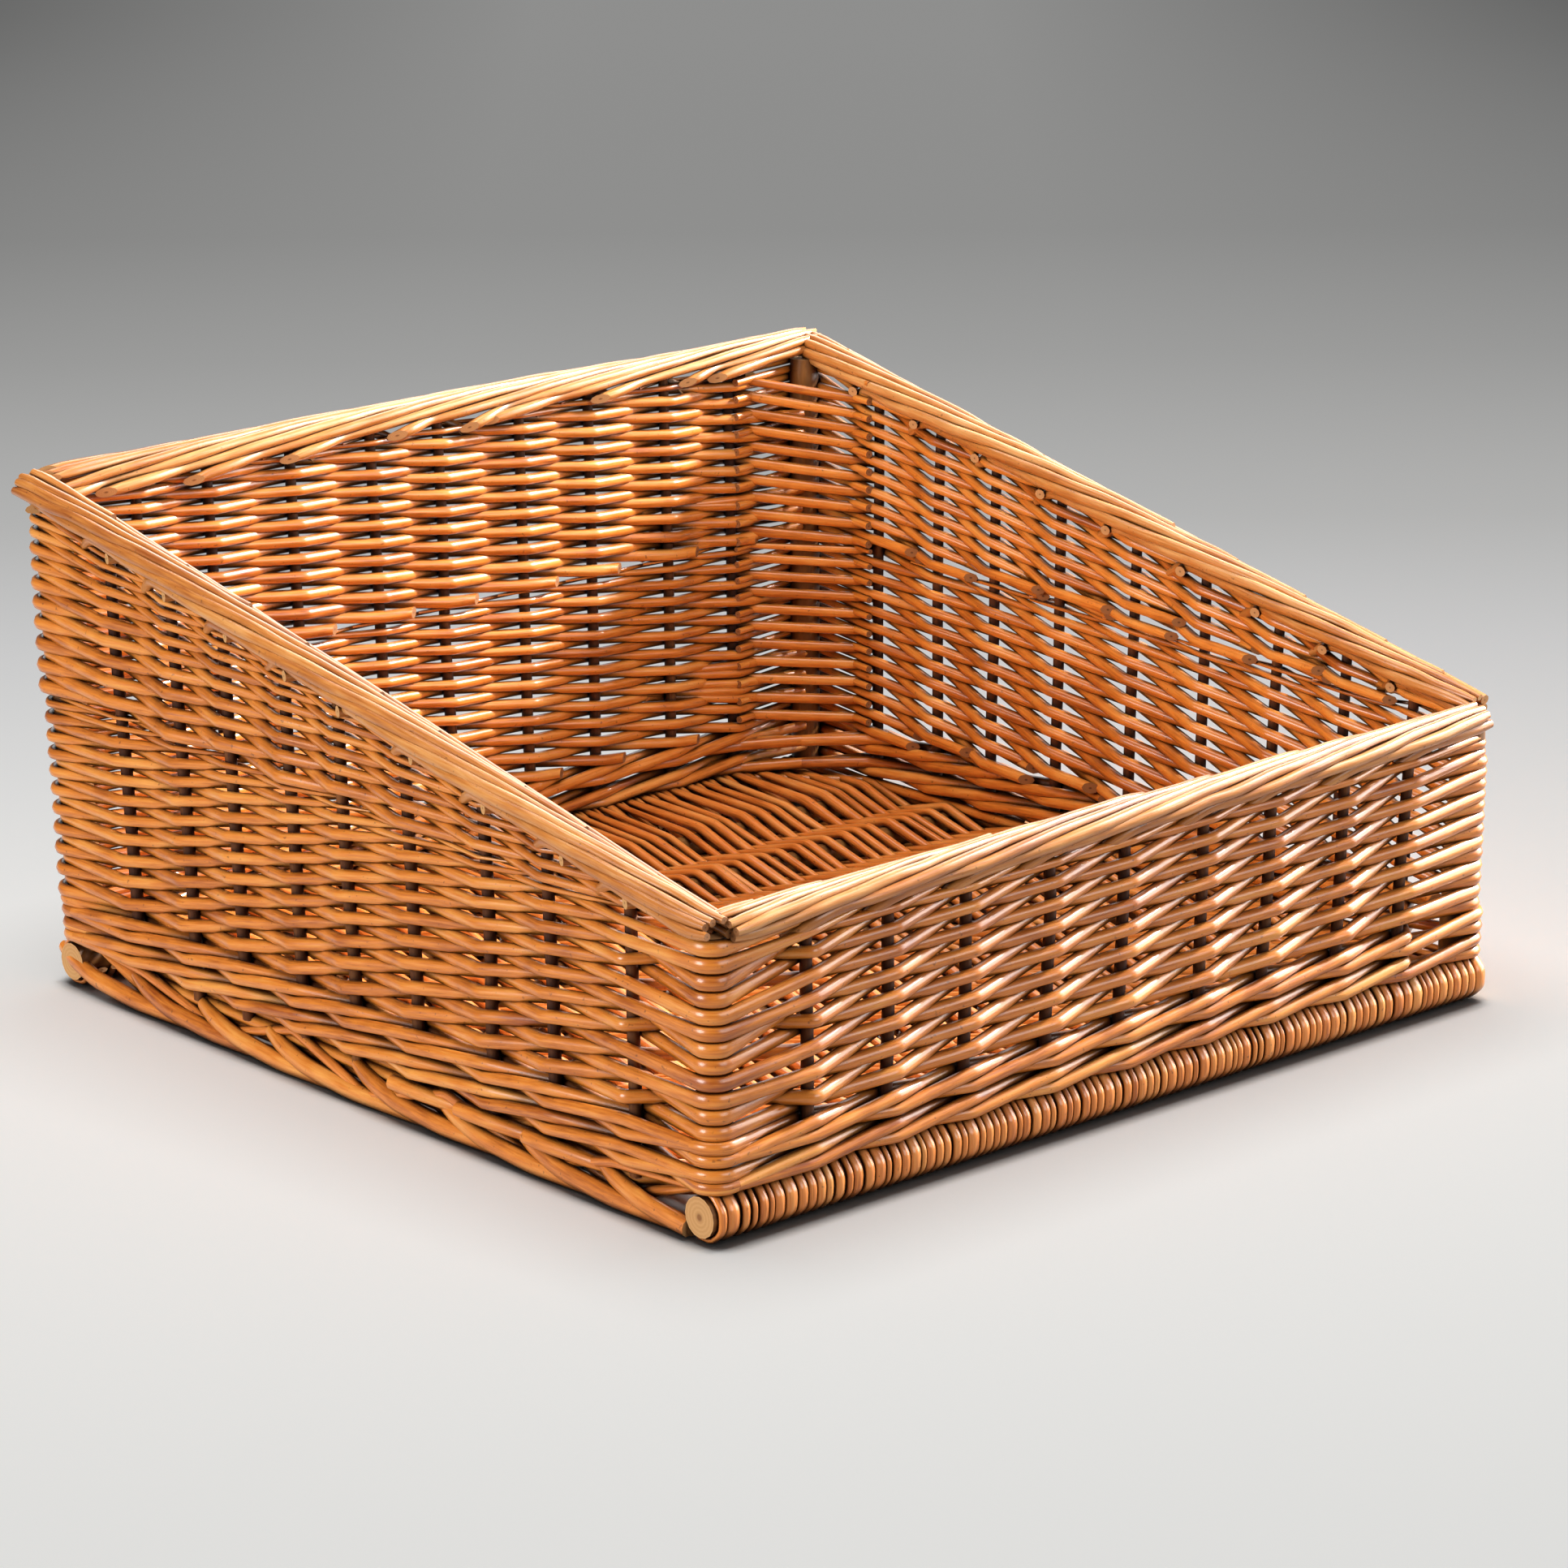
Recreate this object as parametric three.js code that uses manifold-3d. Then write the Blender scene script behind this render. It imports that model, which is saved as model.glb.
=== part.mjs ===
// Sloping display basket in willow, with a low front, a high back and a woven base.
// Millimetres, +Z up. X runs along the front and Y from front to back.
// The origin is on the floor under the middle of the basket.
import * as THREE from 'three';
import { mergeVertices } from 'three/addons/utils/BufferGeometryUtils.js';
import ManifoldModule from 'manifold-3d';

// Overall sizes, measured over the weave at floor level and to the top of the rim.
const WIDTH = 400;
const DEPTH = 400;
const BACK_HEIGHT = 209;
const FRONT_HEIGHT = 122;
const FLARE = 2.8; // lean of each wall, outwards, per 100 mm of height

// Rods and sticks.
const POST_D = 13;
const STAKE_D = 5.5;
const STAKES_PER_WALL = 9;
const WEAVER_D = 5.6;
const ROW_PITCH_MIN = 6.5;
const LOWER_ROWS = 5; // odd, so that the weaver reaches the high end before the short rows
const WALE_ROWS = 3;
const CLEARANCE = 0.6;

// Base.
const BASE_STICK_D = 12;
const INNER_STICK_D = 8;
const INNER_STICKS = 7;
const BASE_WEAVER_W = 5.6;
const BASE_WEAVER_T = 3.6;
const BASE_PASS_PITCH = 8.6;
const REST_FLAT = 0.4; // depth to which the winding is flat where it stands on the floor

// Border.
const BORDER_ROD_D = 6;
const BORDER_RODS = 4;
const BORDER_STEPS = 10;
const BORDER_TURNS = 1;

// Sizes that follow from those above.
const POST_INSET = POST_D / 2 + CLEARANCE + WEAVER_D;
const STAKE_INSET = STAKE_D / 2 + CLEARANCE + WEAVER_D;
const SWING = STAKE_D / 2 + CLEARANCE + WEAVER_D / 2;
const CORNER_R = POST_D / 2 + CLEARANCE + WEAVER_D / 2;
const CORNER_END = Math.PI / 4 - (0.75 * WEAVER_D / 2 + CLEARANCE / 2) / CORNER_R;
const WINDING_R = BASE_STICK_D / 2 + CLEARANCE + BASE_WEAVER_T / 2;
const WINDING_FLAT = WINDING_R * Math.cos(Math.PI / 6);
const BASE_AXIS_Z = WINDING_FLAT + BASE_WEAVER_T / 2 - REST_FLAT;
const BASE_TOP = BASE_AXIS_Z + WINDING_FLAT + BASE_WEAVER_T / 2;
const WEAVE_BOTTOM = BASE_TOP + CLEARANCE / 2;
const BORDER_SPREAD = (BORDER_ROD_D + CLEARANCE) / 2 / Math.sin(Math.PI / BORDER_RODS);
const BORDER_R = BORDER_SPREAD + BORDER_ROD_D / 2;
const BORDER_DROP = 2 * BORDER_R + CLEARANCE / 2;
const POST_X = WIDTH / 2 - POST_INSET;
const POST_Y = DEPTH / 2 - POST_INSET;
const RISE = (BACK_HEIGHT - FRONT_HEIGHT) / (DEPTH - 2 * STAKE_INSET);

const WILLOW = new THREE.MeshStandardMaterial({ name: 'willow_rod', color: 0xb9763a, roughness: 0.5 });
const BORDER_WILLOW = new THREE.MeshStandardMaterial({ name: 'border_rod', color: 0xd9a055, roughness: 0.45 });
const STICK = new THREE.MeshStandardMaterial({ name: 'willow_stick', color: 0xc9a878, roughness: 0.6 });

const manifold = await ManifoldModule();
manifold.setup();

const basket = new THREE.Group();
basket.name = 'display_basket';

// A path with one ring of the rod at each of its points. A side, where one is given,
// is the direction that the width of the section keeps to all the way along.
class RodPath extends THREE.Curve {
  constructor(points, side) {
    super();
    this.points = points;
    this.side = side;
  }

  indexAt(t) {
    return Math.round(t * (this.points.length - 1));
  }

  getPoint(t, target = new THREE.Vector3()) {
    return target.copy(this.points[this.indexAt(t)]);
  }

  getPointAt(t, target = new THREE.Vector3()) {
    return this.getPoint(t, target);
  }

  getTangentAt(t, target = new THREE.Vector3()) {
    const index = this.indexAt(t);
    const here = this.points[index];
    target.set(0, 0, 0);
    if (index > 0) {
      target.add(here.clone().sub(this.points[index - 1]).normalize());
    }
    if (index < this.points.length - 1) {
      target.add(this.points[index + 1].clone().sub(here).normalize());
    }
    return target.normalize();
  }

  computeFrenetFrames(segments, closed) {
    if (!this.side) {
      return super.computeFrenetFrames(segments, closed);
    }
    const frames = { tangents: [], normals: [], binormals: [] };
    for (let ring = 0; ring <= segments; ring += 1) {
      const tangent = this.getTangentAt(ring / segments);
      const binormal = tangent.clone().cross(this.side).normalize();
      frames.tangents.push(tangent);
      frames.binormals.push(binormal);
      frames.normals.push(binormal.clone().cross(tangent));
    }
    return frames;
  }
}

// A rod of an elliptical, many-sided section carried along a list of points.
// The turn, in sides, sets whether a corner or a flat of the section comes first.
function rod(points, width, thickness, sides, turn = 0, side = undefined) {
  const outline = [];
  for (let corner = 0; corner < sides; corner += 1) {
    const angle = (2 * Math.PI * (corner + turn)) / sides;
    outline.push(new THREE.Vector2((width / 2) * Math.cos(angle), (thickness / 2) * Math.sin(angle)));
  }
  return new THREE.ExtrudeGeometry(new THREE.Shape(outline), {
    steps: points.length - 1,
    extrudePath: new RodPath(points, side),
    bevelEnabled: false,
  });
}

// The same solid with everything under a level plane taken off.
function trimmedBelow(geometry, height) {
  const bare = geometry.clone();
  bare.deleteAttribute('normal');
  bare.deleteAttribute('uv');
  const merged = mergeVertices(bare, 1e-4);
  const solid = new manifold.Manifold(new manifold.Mesh({
    numProp: 3,
    vertProperties: new Float32Array(merged.attributes.position.array),
    triVerts: new Uint32Array(merged.index.array),
  }));
  const cut = solid.trimByPlane([0, 0, 1], height).getMesh();
  const result = new THREE.BufferGeometry();
  result.setAttribute('position', new THREE.BufferAttribute(new Float32Array(cut.vertProperties), 3));
  result.setIndex(new THREE.BufferAttribute(new Uint32Array(cut.triVerts), 1));
  return result;
}

function addPiece(name, geometry, material) {
  const mesh = new THREE.Mesh(geometry, material);
  mesh.name = name;
  basket.add(mesh);
}

// A place given for upright walls, moved out by the lean at its height.
function leaning(x, y, z) {
  const lean = (FLARE * z) / 100;
  return new THREE.Vector3(x + (lean * x) / (WIDTH / 2), y + (lean * y) / (DEPTH / 2), z);
}

// Height of the top of the rim above a distance from front to back.
function rimHeight(y) {
  const fromFront = y + DEPTH / 2 - STAKE_INSET;
  const height = FRONT_HEIGHT + RISE * fromFront;
  return THREE.MathUtils.clamp(height, FRONT_HEIGHT, BACK_HEIGHT);
}

// One wall: how its own directions, along it and out of it, lie in the basket.
// Its places are numbered from its low end: a corner post, the stakes, then a corner post.
class Wall {
  constructor(name, along, out, halfLength, halfReach) {
    this.name = name;
    this.along = along;
    this.out = out;
    this.postU = halfLength - POST_INSET;
    this.postR = halfReach - POST_INSET;
    this.stakeR = halfReach - STAKE_INSET;
    this.halfLength = halfLength;
    this.halfReach = halfReach;
  }

  at(u, r, z) {
    const x = this.along.x * u + this.out.x * r;
    const y = this.along.y * u + this.out.y * r;
    return leaning(x, y, z);
  }

  placeU(place) {
    return -this.postU + (2 * this.postU * place) / (STAKES_PER_WALL + 1);
  }

  rimAt(u) {
    return rimHeight(this.along.y * u + this.out.y * this.stakeR);
  }

  weaveHeight(place) {
    return this.rimAt(this.placeU(place)) - BORDER_DROP - WEAVE_BOTTOM;
  }

  // Rows at a place. Short rows come in pairs, out and back, where the wall is higher.
  rowsAt(place) {
    const nearest = THREE.MathUtils.clamp(place, 1, STAKES_PER_WALL);
    const low = Math.floor(this.weaveHeight(0) / ROW_PITCH_MIN);
    if (place === 0) {
      return low;
    }
    const fit = this.weaveHeight(nearest) / ROW_PITCH_MIN;
    return low + 2 * Math.max(Math.floor((fit - low) / 2), 0);
  }

  levelZ(place, level) {
    const rowPitch = this.weaveHeight(place) / this.rowsAt(place);
    return WEAVE_BOTTOM + (level + 0.5) * rowPitch;
  }
}

// On which side of the stake a row passes: out for two and in for one in the wale,
// then out and in by turns.
function sideOf(order, place) {
  if (order < WALE_ROWS) {
    return (place + order) % 3 === 0 ? -1 : 1;
  }
  return (place + order) % 2 === 0 ? -1 : 1;
}

// The points of one row from one place to another. At a corner it goes part of the way
// round the post, as far as the next wall's weave.
function rowPoints(wall, order, levelAt, from, to) {
  const points = [];
  const last = STAKES_PER_WALL + 1;
  const step = Math.sign(to - from);
  for (let place = from; place !== to + step; place += step) {
    const z = wall.levelZ(place, levelAt(place));
    const u = wall.placeU(place);
    if (place > 0 && place < last) {
      points.push(wall.at(u, wall.stakeR + sideOf(order, place) * SWING, z));
      continue;
    }
    const end = place === 0 ? -1 : 1;
    const onWall = wall.at(u, wall.postR + CORNER_R, z);
    const round = wall.at(
      u + end * CORNER_R * Math.sin(CORNER_END),
      wall.postR + CORNER_R * Math.cos(CORNER_END),
      z,
    );
    const starts = place === from;
    points.push(starts ? round : onWall);
    points.push(starts ? onWall : round);
  }
  return points;
}

// The turn of a short row round the stake at its end, from one side to the other.
function turnPoints(wall, place, side, lowZ, highZ) {
  const points = [];
  const u = wall.placeU(place);
  for (const eighth of [1, 2, 3]) {
    const angle = (eighth * Math.PI) / 4;
    const reach = wall.stakeR + side * SWING * Math.cos(angle);
    points.push(wall.at(u - SWING * Math.sin(angle), reach, lowZ + ((highZ - lowZ) * eighth) / 4));
  }
  return points;
}

// The weave of a wall as one unbroken weaver, to and fro from the bottom to the border.
function wallWeave(wall) {
  const last = STAKES_PER_WALL + 1;
  const low = wall.rowsAt(0);
  const pairs = (wall.rowsAt(STAKES_PER_WALL) - low) / 2;
  const lower = Math.min(LOWER_ROWS, low);
  const upper = low - lower;
  const points = [];
  let at = 0;
  for (let row = 0; row < lower; row += 1) {
    points.push(...rowPoints(wall, row, () => row, at, last - at));
    at = last - at;
  }
  for (let pair = 0; pair < pairs; pair += 1) {
    let turn = 1;
    while (wall.rowsAt(turn) < low + 2 * (pair + 1)) {
      turn += 1;
    }
    const level = lower + 2 * pair;
    const out = rowPoints(wall, lower, () => level, last, turn);
    const home = rowPoints(wall, lower + 1, () => level + 1, turn, last);
    const lowZ = wall.levelZ(turn, level);
    const highZ = wall.levelZ(turn, level + 1);
    points.push(...out, ...turnPoints(wall, turn, sideOf(lower, turn), lowZ, highZ), ...home);
  }
  for (let row = 0; row < upper; row += 1) {
    const levelAt = (place) => wall.rowsAt(place) - upper + row;
    points.push(...rowPoints(wall, lower + row, levelAt, at, last - at));
    at = last - at;
  }
  return rod(points, WEAVER_D, WEAVER_D, 4);
}

// The border of a wall: rods lying along the rim and twisting slowly round each other,
// made as one rod that turns back at each end.
function wallBorder(wall, halfRun) {
  const points = [];
  const run = halfRun - 0.75 * BORDER_ROD_D / 2;
  for (let strand = 0; strand < BORDER_RODS; strand += 1) {
    for (let step = 0; step <= BORDER_STEPS; step += 1) {
      const share = strand % 2 === 0 ? step / BORDER_STEPS : 1 - step / BORDER_STEPS;
      const u = run * (2 * share - 1);
      const angle = 2 * Math.PI * (strand / BORDER_RODS + BORDER_TURNS * share) + Math.PI / 4;
      const z = wall.rimAt(u) - BORDER_R + BORDER_SPREAD * Math.sin(angle);
      points.push(wall.at(u, wall.stakeR + BORDER_SPREAD * Math.cos(angle), z));
    }
  }
  return rod(points, BORDER_ROD_D, BORDER_ROD_D, 5);
}

// The base weave: one rod from front to back and back again, over and under the sticks,
// with a whole extra turn round the outer stick each time.
function baseWeave(stickY) {
  const points = [];
  const passes = 2 * Math.floor(WIDTH / 2 / BASE_PASS_PITCH - 1);
  const lift = INNER_STICK_D / 2 + CLEARANCE + BASE_WEAVER_T / 2;
  const last = stickY.length - 1;
  for (let pass = 0; pass < passes; pass += 1) {
    const x = (pass - (passes - 1) / 2) * BASE_PASS_PITCH;
    const goesBack = pass % 2 === 0;
    for (let inner = 1; inner < last; inner += 1) {
      const stick = goesBack ? inner : last - inner;
      const side = (pass + stick) % 2 === 0 ? 1 : -1;
      points.push(new THREE.Vector3(x, stickY[stick], BASE_AXIS_Z + side * lift));
    }
    if (pass === passes - 1) {
      break;
    }
    for (let sixth = 0; sixth <= 10; sixth += 1) {
      const angle = ((goesBack ? 120 - 60 * sixth : 300 - 60 * sixth) * Math.PI) / 180;
      const y = stickY[goesBack ? last : 0] + WINDING_R * Math.cos(angle);
      const turnX = x + BASE_PASS_PITCH * (0.5 + (sixth - 5) / 6);
      points.push(new THREE.Vector3(turnX, y, BASE_AXIS_Z + WINDING_R * Math.sin(angle)));
    }
  }
  const acrossX = new THREE.Vector3(1, 0, 0);
  return trimmedBelow(rod(points, BASE_WEAVER_W, BASE_WEAVER_T, 4, 0, acrossX), 0);
}

// Base sticks, front to back: the two outer ones carry the posts and the winding.
const stickY = [];
for (let stick = 0; stick <= INNER_STICKS + 1; stick += 1) {
  stickY.push(POST_Y * ((2 * stick) / (INNER_STICKS + 1) - 1));
}
stickY.forEach((y, stick) => {
  const outer = stick === 0 || stick === INNER_STICKS + 1;
  const half = outer ? WIDTH / 2 : WIDTH / 2 - STAKE_INSET;
  const across = outer ? BASE_STICK_D : INNER_STICK_D;
  const ends = [new THREE.Vector3(-half, y, BASE_AXIS_Z), new THREE.Vector3(half, y, BASE_AXIS_Z)];
  const outerName = stick === 0 ? 'front_base_stick' : 'back_base_stick';
  addPiece(outer ? outerName : `inner_base_stick_${stick}`, rod(ends, across, across, 6, 0.5), STICK);
});
addPiece('base_weave', baseWeave(stickY), WILLOW);

// Corner posts, standing over the ends of the outer base sticks.
for (const [depthName, y] of [['front', -POST_Y], ['back', POST_Y]]) {
  for (const [sideName, x] of [['left', -POST_X], ['right', POST_X]]) {
    const top = rimHeight(y - POST_D / 2) - BORDER_DROP;
    const ends = [leaning(x, y, WEAVE_BOTTOM), leaning(x, y, top)];
    addPiece(`${depthName}_${sideName}_corner_post`, rod(ends, POST_D, POST_D, 8), STICK);
  }
}

// Walls: stakes, weave and border.
const alongX = new THREE.Vector2(1, 0);
const alongY = new THREE.Vector2(0, 1);
const walls = [
  new Wall('front', alongX, new THREE.Vector2(0, -1), WIDTH / 2, DEPTH / 2),
  new Wall('back', alongX, new THREE.Vector2(0, 1), WIDTH / 2, DEPTH / 2),
  new Wall('left', alongY, new THREE.Vector2(-1, 0), DEPTH / 2, WIDTH / 2),
  new Wall('right', alongY, new THREE.Vector2(1, 0), DEPTH / 2, WIDTH / 2),
];
for (const wall of walls) {
  const isSide = wall.along === alongY;
  for (let place = 1; place <= STAKES_PER_WALL; place += 1) {
    const u = wall.placeU(place);
    const top = wall.rimAt(u - STAKE_D / 2) - BORDER_DROP;
    const ends = [wall.at(u, wall.stakeR, WEAVE_BOTTOM), wall.at(u, wall.stakeR, top)];
    addPiece(`${wall.name}_stake_${place}`, rod(ends, STAKE_D, STAKE_D, 6), WILLOW);
  }
  addPiece(`${wall.name}_wall_weave`, wallWeave(wall), WILLOW);
  const halfRun = isSide ? DEPTH / 2 - STAKE_INSET - BORDER_R - CLEARANCE : WIDTH / 2;
  addPiece(`${wall.name}_border`, wallBorder(wall, halfRun), BORDER_WILLOW);
}

// The back leans out further than the front because it is higher: put the origin back
// under the middle of the whole.
const middle = new THREE.Box3().setFromObject(basket).getCenter(new THREE.Vector3());
for (const piece of basket.children) {
  piece.position.set(-middle.x, -middle.y, 0);
}

export default basket;
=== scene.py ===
"""Looks of a square willow display basket with a sloping rim, woven rod by rod."""
from __future__ import annotations

import logging
import math
from dataclasses import dataclass, field
from enum import Enum

import bpy
import numpy as np
from mathutils import Matrix

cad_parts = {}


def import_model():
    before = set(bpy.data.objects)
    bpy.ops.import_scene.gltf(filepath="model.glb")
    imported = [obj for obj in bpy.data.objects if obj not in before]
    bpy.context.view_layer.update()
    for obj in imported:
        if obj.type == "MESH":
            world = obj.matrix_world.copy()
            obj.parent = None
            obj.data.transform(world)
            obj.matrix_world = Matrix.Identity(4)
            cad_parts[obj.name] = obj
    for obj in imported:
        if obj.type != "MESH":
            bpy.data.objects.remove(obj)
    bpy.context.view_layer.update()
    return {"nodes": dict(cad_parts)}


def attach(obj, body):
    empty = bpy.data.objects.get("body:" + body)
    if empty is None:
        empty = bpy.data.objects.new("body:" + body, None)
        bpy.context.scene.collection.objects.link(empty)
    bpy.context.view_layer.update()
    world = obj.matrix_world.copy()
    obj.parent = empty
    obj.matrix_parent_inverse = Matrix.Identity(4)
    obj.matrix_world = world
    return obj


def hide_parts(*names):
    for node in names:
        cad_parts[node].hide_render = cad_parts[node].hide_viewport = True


Row = tuple[float, ...]
Pair = tuple[float, float]
Rod = tuple[np.ndarray, np.ndarray, np.ndarray]
LOG = logging.getLogger("basket")
MM = 0.001
FINE_MM = 0.6
TURN_STEP = 0.13
CUT_EDGE = 0.93
CUT_SLOPE = 1.1
MAP_METRES = 40
UP = np.array((0.0, 0.0, 1.0))
EAST = np.array((1.0, 0.0, 0.0))
ASKEW = EAST + 0.3
FRAME_PX = 1932
SENSOR_MM = 36.0
BLEND = {"data_type": "RGBA"}
TIMES = {"operation": "MULTIPLY"}
TIMES_PLUS = {"operation": "MULTIPLY_ADD"}
LARGER = {"operation": "MAXIMUM"}
SIZE_OF = {"operation": "ABSOLUTE"}
DOT = {"operation": "DOT_PRODUCT"}


class Side(Enum):
    """The four walls in weaving order: the way along each one and its outward way."""

    FRONT = ((1, 0), (0, -1))
    RIGHT = ((0, 1), (1, 0))
    BACK = ((-1, 0), (0, 1))
    LEFT = ((0, -1), (-1, 0))

    @property
    def label(self) -> str:
        """Name of the wall as the solids spell it."""
        return self.name.lower()


WALLS = tuple(Side)


@dataclass(frozen=True)
class Plan:
    """Main sizes of the basket in millimetres, the same as the solids have."""

    half: float = 200.0
    front: float = 122.0
    back: float = 209.0
    flare: float = 0.028
    shift: float = -1.3
    stakes: int = 9
    post_r: float = 6.5
    stake_r: float = 2.35
    rod_r: float = 2.2
    wale_foot: float = 18.8

    @property
    def post_line(self) -> float:
        """Distance of the corner posts from the middle planes."""
        return self.half - 2 * self.rod_r - self.post_r

    @property
    def stake_line(self) -> float:
        """Distance of the stakes from the middle planes."""
        return self.half - 2 * self.rod_r - self.stake_r

    @property
    def pitch(self) -> float:
        """Spacing of the stakes."""
        return 2 * self.post_line / (self.stakes + 1)

    def rim(self, y: np.ndarray | float) -> np.ndarray:
        """Height of the rim, rising in a straight line from front to back.

        Args:
            y: Place from front to back, before the lean.

        Returns:
            Height of the rim's top.
        """
        share = np.clip((np.asarray(y) + self.stake_line) / (2 * self.stake_line), 0, 1)
        return self.front + (self.back - self.front) * share

    def place(self, side: Side, u: object, r: object, z: object) -> np.ndarray:
        """Point at u along a wall, r out from the middle and z up, leaning out with height.

        Args:
            side: The wall.
            u: Place along the wall.
            r: Distance from the middle plane.
            z: Height over the floor.

        Returns:
            Points in the basket's frame, one row each.
        """
        u, r, z = np.broadcast_arrays(*(np.asarray(v, float) for v in (u, r, z)))
        (ax, ay), (ox, oy) = side.value
        lean = 1 + self.flare * z / self.half
        x = (ax * u + ox * r) * lean
        y = (ay * u + oy * r) * lean + self.shift
        return np.stack((x, y, z), axis=-1)

    def inward(self, side: Side) -> np.ndarray:
        """Way into the basket from a wall."""
        return -np.array((*side.value[1], 0.0))

    def depth_at(self, side: Side, u: object) -> np.ndarray:
        """Place from front to back of a point on a wall's stake line."""
        return side.value[0][1] * np.asarray(u, float) + side.value[1][1] * self.stake_line


PLAN = Plan()


def linear(code: str) -> Row:
    """Linear colour of an sRGB hex value.

    Args:
        code: Six hex digits.

    Returns:
        Linear red, green, blue and an alpha of 1.
    """
    values = [int(code[i:i + 2], 16) / 255 for i in (0, 2, 4)]
    parts = [v / 12.92 if v <= 0.04045 else ((v + 0.055) / 1.055) ** 2.4 for v in values]
    return parts[0], parts[1], parts[2], 1.0


class Shader:
    """Node tree of one material."""

    def __init__(self, name: str) -> None:
        """Start an empty tree."""
        self.material = bpy.data.materials.new(name)
        self.material.use_nodes = True
        self.tree = self.material.node_tree
        self.tree.nodes.clear()

    def add(self, kind: str, settings: dict | None = None, **inputs: object,
            ) -> bpy.types.bpy_prop_collection:
        """Add a node, set it and link what is given as a socket.

        Args:
            kind: Node type, after the word ShaderNode.
            settings: Attributes of the node.
            **inputs: Values or sockets by input name, an underscore for a space, or in0, in1.

        Returns:
            The node's outputs.
        """
        node = self.tree.nodes.new(f"ShaderNode{kind}")
        for key, value in (settings or {}).items():
            setattr(node, key, value)
        for key, value in inputs.items():
            number = key[2:] if key.startswith("in") else ""
            socket = node.inputs[int(number) if number.isdigit() else key.replace("_", " ")]
            if isinstance(value, bpy.types.NodeSocket):
                self.tree.links.new(value, socket)
            else:
                socket.default_value = value
        return node.outputs

    def close(self, surface: bpy.types.NodeSocket) -> bpy.types.Material:
        """Link the surface and give the material."""
        self.add("OutputMaterial", Surface=surface)
        return self.material


@dataclass(frozen=True)
class Willow:
    """Boiled and peeled willow under a thin varnish: streaks along the rod, gloss across it.

    The streaks are drawn coarser than real grain, so that they show. Nooks get painted shade.
    """

    name: str
    deep: str
    mid: str
    pale: str
    roughness: float = 0.36
    coat: float = 0.75
    coat_roughness: float = 0.24
    gloss: float = 0.3
    rod_mm: float = 2.2
    stretch: float = 0.07
    streak_mm: float = 0.9
    streak_share: float = 1.3
    blotch_mm: float = 28.0
    blotch_share: float = 1.1
    fleck_mm: float = 1.6
    fleck: str = "3a1c0c"
    relief_mm: float = 0.25
    nook_mm: float = 9.0
    # Colour of the painted shade in the nooks.
    nook_shade: str = "240a02"

    def build(self) -> bpy.types.Material:
        """Material that reads the rod's own map: metres along it and turns round it.

        Returns:
            The material.
        """
        s = Shader(self.name)
        rod = s.add("SeparateXYZ", Vector=s.add("UVMap", {"uv_map": "Rod"})[0])
        turn = s.add("Math", TIMES, in0=rod[1], in1=2 * math.pi)[0]
        across, over = (
            s.add("Math", TIMES, in0=s.add("Math", {"operation": way}, in0=turn)[0],
                  in1=self.rod_mm * MM)[0] for way in ("COSINE", "SINE"))
        along = s.add("CombineXYZ", X=rod[0], Y=across, Z=over)[0]
        grain = s.add("VectorMath", TIMES, in0=along, in1=(self.stretch, 1.0, 1.0))[0]
        streak = s.add("TexNoise", Vector=grain, Scale=1 / (self.streak_mm * MM), Detail=3.0,
                       Roughness=0.6)[0]
        blotch = s.add("TexNoise", Vector=along, Scale=1 / (self.blotch_mm * MM), Detail=2.0)[0]
        speck = s.add("TexNoise", Vector=along, Scale=1 / (self.fleck_mm * MM), Detail=1.0)[0]
        tone = s.add("Attribute", {"attribute_name": "tone"})["Fac"]
        tone = s.add("Math", TIMES_PLUS, in0=streak, in1=self.streak_share, in2=tone)[0]
        tone = s.add("Math", TIMES_PLUS, in0=blotch, in1=self.blotch_share, in2=tone)[0]
        even = (self.streak_share + self.blotch_share) / 2
        dark = s.add("MapRange", Value=tone, From_Min=even - 0.1, From_Max=even + 0.5)[0]
        light = s.add("MapRange", Value=tone, From_Min=even + 0.5, From_Max=even + 1.1)[0]
        spot = s.add("MapRange", Value=speck, From_Min=0.7, From_Max=0.78, To_Max=0.5)[0]
        colour = linear(self.deep)
        for share, code in ((dark, self.mid), (light, self.pale), (spot, self.fleck)):
            colour = s.add("Mix", BLEND, in0=share, in6=colour, in7=linear(code))[2]
        # Painted shade: occlusion mixes nooks toward a dark brown and thins their varnish, so they
        # look dull.
        nook = s.add("AmbientOcclusion", {"samples": 6}, Distance=self.nook_mm * MM)["AO"]
        clear = s.add("MapRange", {"interpolation_type": "SMOOTHSTEP"}, Value=nook,
                      From_Min=0.2, From_Max=0.8)[0]
        colour = s.add("Mix", BLEND, in0=clear, in6=linear(self.nook_shade), in7=colour)[2]
        bump = s.add("Bump", Height=streak, Strength=0.35, Distance=self.relief_mm * MM)[0]
        varnish = s.add("Math", TIMES, in0=clear, in1=self.coat)[0]
        return s.close(s.add("BsdfPrincipled", Base_Color=colour, Roughness=self.roughness,
                             Coat_Weight=varnish, Coat_Roughness=self.coat_roughness,
                             Specular_IOR_Level=self.gloss, Normal=bump)[0])


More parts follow.
